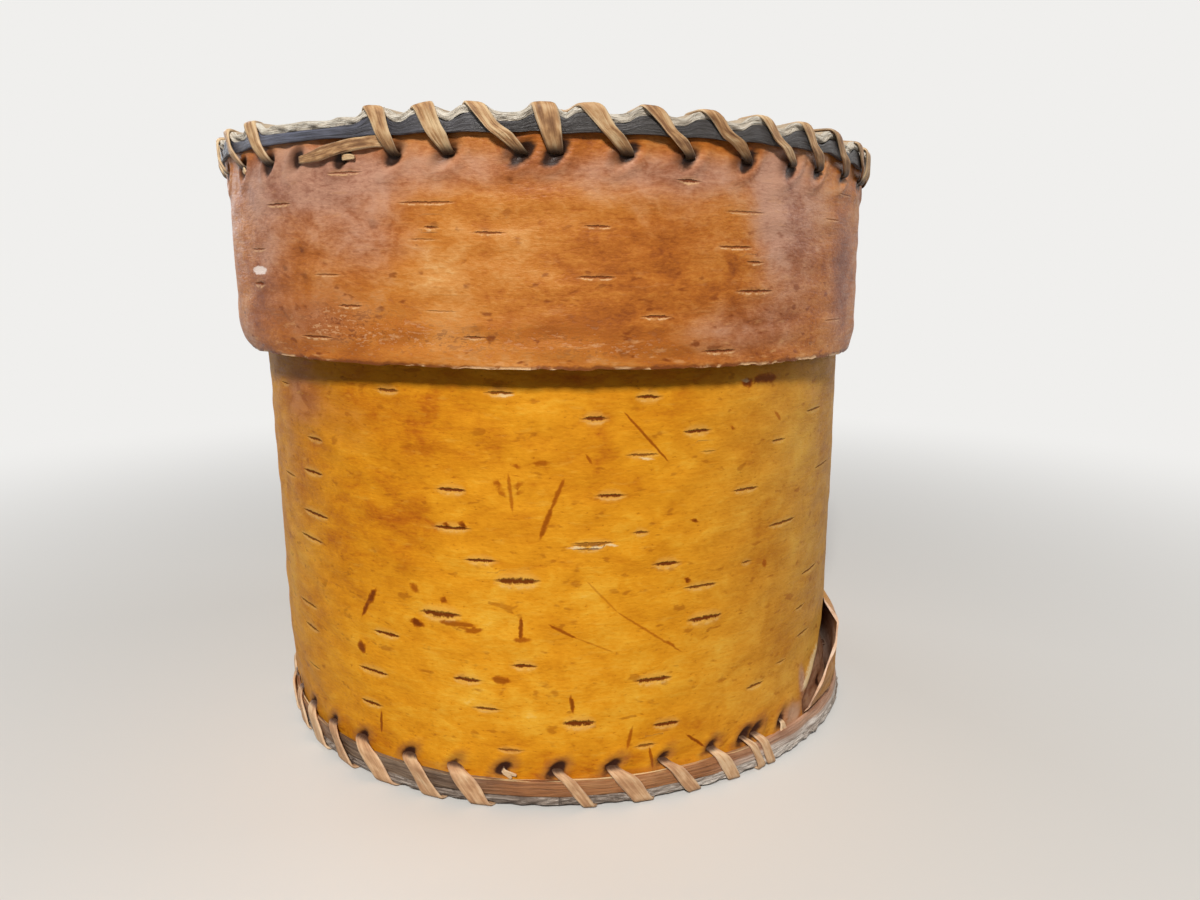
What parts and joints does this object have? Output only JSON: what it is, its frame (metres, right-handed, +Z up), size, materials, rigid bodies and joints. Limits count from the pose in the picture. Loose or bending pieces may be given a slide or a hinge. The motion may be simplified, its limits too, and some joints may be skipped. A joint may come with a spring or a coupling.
{
  "type": "birch bark box with lid",
  "caption": "Round upright box of birch bark with a deep lift-off lid, laced around foot, mouth and lid rim with split roots over bark strips.",
  "frame": {"origin": "centre of the foot, on the surface that the box stands on", "axes": "+Z up along the axis of the box, -Y towards the front, +X to the right, where the wall's lap is"},
  "size_m": [0.1848, 0.1848, 0.161],
  "materials": {
    "wall_bark": "waxy golden inner face of birch bark, satin",
    "base_bark": "weathered grey birch bark, matt",
    "foot_strip": "brown bark strip, satin",
    "mouth_strip": "brown bark strip, satin",
    "foot_root": "split peeled root, pale pinkish tan, satin",
    "box_root": "split peeled root, tan, satin",
    "lid_bark": "reddish brown inner face of birch bark, soft gloss",
    "lid_top_bark": "birch bark with pale layered edge, satin",
    "dark_strip": "charcoal black bark strip, satin",
    "lid_root": "split peeled root, tan brown, satin"
  },
  "bodies": {
    "box": {"wall": "wall_bark", "base": "base_bark", "base_hoop": "foot_strip", "base_lacing_1": "foot_root", "base_lacing_2": "foot_root", "base_lacing_3": "foot_root", "mouth_hoop": "mouth_strip", "mouth_lacing_1": "box_root", "mouth_lacing_2": "box_root", "wall_seam_lacing": "box_root"},
    "lid": {"lid_band": "lid_bark", "lid_top": "lid_top_bark", "lid_hoop": "dark_strip", "lid_lacing_1": "lid_root", "lid_lacing_2": "lid_root", "lid_lacing_3": "lid_root", "lid_root_tail": "lid_root", "lid_seam_lacing": "lid_root"}
  },
  "joints": [
    {"name": "lid_lift", "type": "slide", "parent": "box", "child": "lid", "axis": [0, 0, 1], "range_m": [0, 0.1]}
  ]
}
